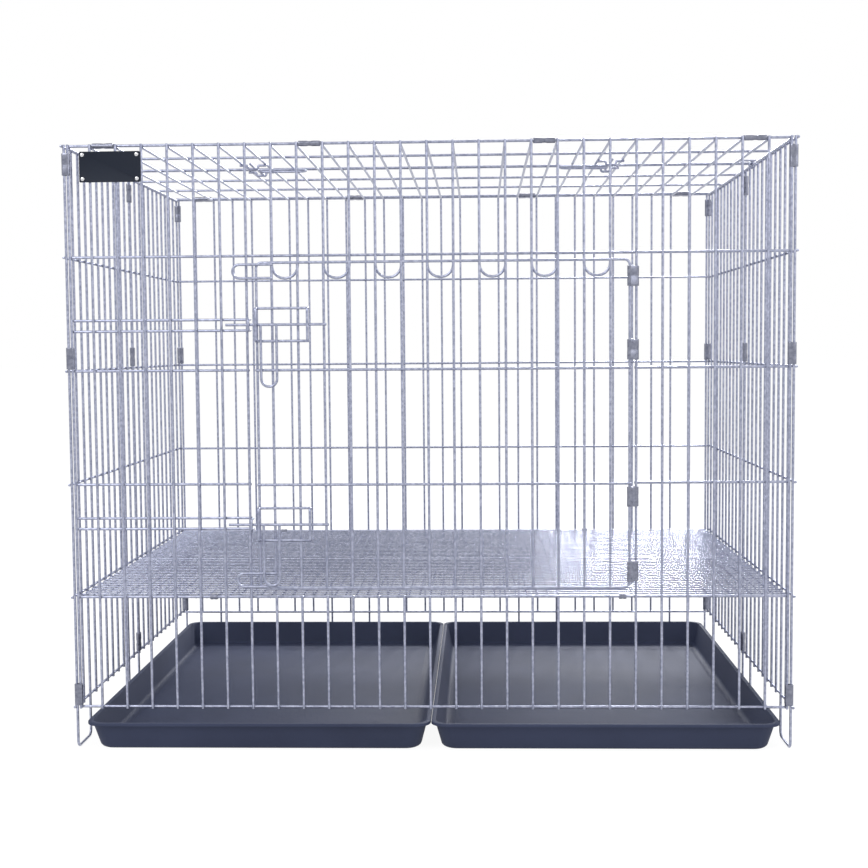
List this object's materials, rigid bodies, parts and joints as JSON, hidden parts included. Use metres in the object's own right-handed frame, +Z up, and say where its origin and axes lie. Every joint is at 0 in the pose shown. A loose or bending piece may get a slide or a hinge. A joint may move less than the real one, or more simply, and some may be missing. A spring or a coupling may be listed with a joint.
{
  "type": "folding pet cage",
  "caption": "Folding wire cage for a pet on wire feet, with a bolted front door, hinged lids, a raised wire floor and slide-out waste trays below.",
  "frame": {"origin": "centre of the bounding box in plan, on the plane the cage stands on", "axes": "+X to the cage's right as seen from the front, +Y to the back (the door faces -Y), +Z up"},
  "size_m": [0.812, 0.5677, 0.6792],
  "materials": {
    "wire": "zinc-plated wire",
    "clip": "zinc-plated sheet",
    "tray": "satin",
    "plate": "black, satin",
    "rivet": "bright"
  },
  "bodies": {
    "cage_front": {"front_panel": "wire", "name_plate": "plate", "plate_rivet_1": "rivet", "plate_rivet_2": "rivet", "plate_rivet_3": "rivet", "plate_rivet_4": "rivet", "left_front_clip_top": "clip", "left_front_clip_middle": "clip", "left_front_clip_bottom": "clip", "right_front_clip_top": "clip", "right_front_clip_middle": "clip", "right_front_clip_bottom": "clip", "door_clip_1": "clip", "door_clip_2": "clip", "door_clip_3": "clip", "door_clip_4": "clip", "top_front_clip_1": "clip", "top_front_clip_2": "clip", "top_front_clip_3": "clip", "top_front_clip_4": "clip", "floor_front_ring_1": "clip", "floor_front_ring_2": "clip"},
    "left_front_side": {"left_front_side": "wire", "left_mid_clip_top": "clip", "left_mid_clip_middle": "clip", "left_mid_clip_bottom": "clip"},
    "left_rear_side": {"left_rear_side": "wire"},
    "cage_back": {"back_panel": "wire", "left_back_clip_top": "clip", "left_back_clip_middle": "clip", "left_back_clip_bottom": "clip", "right_back_clip_top": "clip", "right_back_clip_middle": "clip", "right_back_clip_bottom": "clip", "top_rear_clip_1": "clip", "top_rear_clip_2": "clip", "top_rear_clip_3": "clip", "top_rear_clip_4": "clip", "floor_rear_ring_1": "clip", "floor_rear_ring_2": "clip"},
    "right_front_side": {"right_front_side": "wire"},
    "right_rear_side": {"right_rear_side": "wire", "right_mid_clip_top": "clip", "right_mid_clip_middle": "clip", "right_mid_clip_bottom": "clip"},
    "top_front_leaf": {"top_front_leaf": "wire"},
    "top_rear_leaf": {"top_rear_leaf": "wire"},
    "floor_net_front": {"floor_net_front": "wire"},
    "floor_net_rear": {"floor_net_rear": "wire"},
    "door": {"door": "wire"},
    "door_bolt_upper": {"door_bolt_upper": "wire"},
    "door_bolt_lower": {"door_bolt_lower": "wire"},
    "top_bolt_left": {"top_bolt_left": "wire"},
    "top_bolt_right": {"top_bolt_right": "wire"},
    "top_side_hook_left": {"top_side_hook_left": "wire"},
    "top_side_hook_right": {"top_side_hook_right": "wire"},
    "tray_left": {"tray_left": "tray"},
    "tray_right": {"tray_right": "tray"}
  },
  "joints": [
    {"name": "cage_fold", "type": "hinge", "parent": "cage_front", "child": "left_front_side", "pos_m": [-0.4, -0.26891, 0.35], "axis": [0, 0, 1], "range_deg": [0, 60]},
    {"name": "left_rear_side_fold", "type": "hinge", "parent": "left_front_side", "child": "left_rear_side", "pos_m": [-0.4, 0.00809, 0.35], "axis": [0, 0, 1], "range_deg": [-120, 0]},
    {"name": "back_turn", "type": "hinge", "parent": "left_rear_side", "child": "cage_back", "pos_m": [-0.4, 0.28109, 0.35], "axis": [0, 0, 1], "range_deg": [0, 60]},
    {"name": "right_front_side_fold", "type": "hinge", "parent": "cage_front", "child": "right_front_side", "pos_m": [0.4, -0.26891, 0.35], "axis": [0, 0, -1], "range_deg": [0, 60]},
    {"name": "right_rear_side_fold", "type": "hinge", "parent": "right_front_side", "child": "right_rear_side", "pos_m": [0.4, 0.00409, 0.35], "axis": [0, 0, -1], "range_deg": [-120, 0]},
    {"name": "top_front_lid_swing", "type": "hinge", "parent": "cage_front", "child": "top_front_leaf", "pos_m": [0, -0.2609, 0.675], "axis": [-1, 0, 0], "range_deg": [-160, 0]},
    {"name": "top_rear_lid_lift", "type": "hinge", "parent": "cage_back", "child": "top_rear_leaf", "pos_m": [0, 0.27309, 0.675], "axis": [1, 0, 0], "range_deg": [-80, 0]},
    {"name": "floor_front_lift", "type": "hinge", "parent": "cage_front", "child": "floor_net_front", "pos_m": [0, -0.2609, 0.172], "axis": [-1, 0, 0], "range_deg": [-80, 0]},
    {"name": "floor_rear_lift", "type": "hinge", "parent": "cage_back", "child": "floor_net_rear", "pos_m": [0, 0.27309, 0.172], "axis": [1, 0, 0], "range_deg": [-80, 0]},
    {"name": "door_swing", "type": "hinge", "parent": "cage_front", "child": "door", "pos_m": [0.22097, -0.27291, 0.35], "axis": [0, 0, -1], "range_deg": [-160, 0]},
    {"name": "door_bolt_upper_slide", "type": "slide", "parent": "door", "child": "door_bolt_upper", "axis": [-1, 0, 0], "range_m": [-0.031, 0]},
    {"name": "door_bolt_lower_slide", "type": "slide", "parent": "door", "child": "door_bolt_lower", "axis": [-1, 0, 0], "range_m": [-0.031, 0]},
    {"name": "top_bolt_left_slide", "type": "slide", "parent": "top_front_leaf", "child": "top_bolt_left", "axis": [0, 1, 0], "range_m": [-0.025, 0]},
    {"name": "top_bolt_right_slide", "type": "slide", "parent": "top_front_leaf", "child": "top_bolt_right", "axis": [0, 1, 0], "range_m": [-0.025, 0]},
    {"name": "side_hook_left_tip", "type": "hinge", "parent": "top_front_leaf", "child": "top_side_hook_left", "pos_m": [-0.396, -0.05411, 0.6723], "axis": [0, -1, 0], "range_deg": [-60, 0]},
    {"name": "side_hook_right_tip", "type": "hinge", "parent": "top_front_leaf", "child": "top_side_hook_right", "pos_m": [0.396, -0.05411, 0.6723], "axis": [0, 1, 0], "range_deg": [-60, 0]},
    {"name": "tray_left_slide", "type": "slide", "parent": "cage_back", "child": "tray_left", "axis": [0, 1, 0], "range_m": [-0.45, 0]},
    {"name": "tray_right_slide", "type": "slide", "parent": "cage_back", "child": "tray_right", "axis": [0, 1, 0], "range_m": [-0.45, 0]}
  ],
  "couplings": [
    {"joint": "left_rear_side_fold", "follows": "cage_fold", "ratio": -2},
    {"joint": "back_turn", "follows": "cage_fold", "ratio": 1},
    {"joint": "right_front_side_fold", "follows": "cage_fold", "ratio": 1},
    {"joint": "right_rear_side_fold", "follows": "cage_fold", "ratio": -2},
    {"joint": "top_rear_lid_lift", "follows": "cage_fold", "ratio": -1.333},
    {"joint": "floor_front_lift", "follows": "cage_fold", "ratio": -1.333},
    {"joint": "floor_rear_lift", "follows": "cage_fold", "ratio": -1.333}
  ]
}
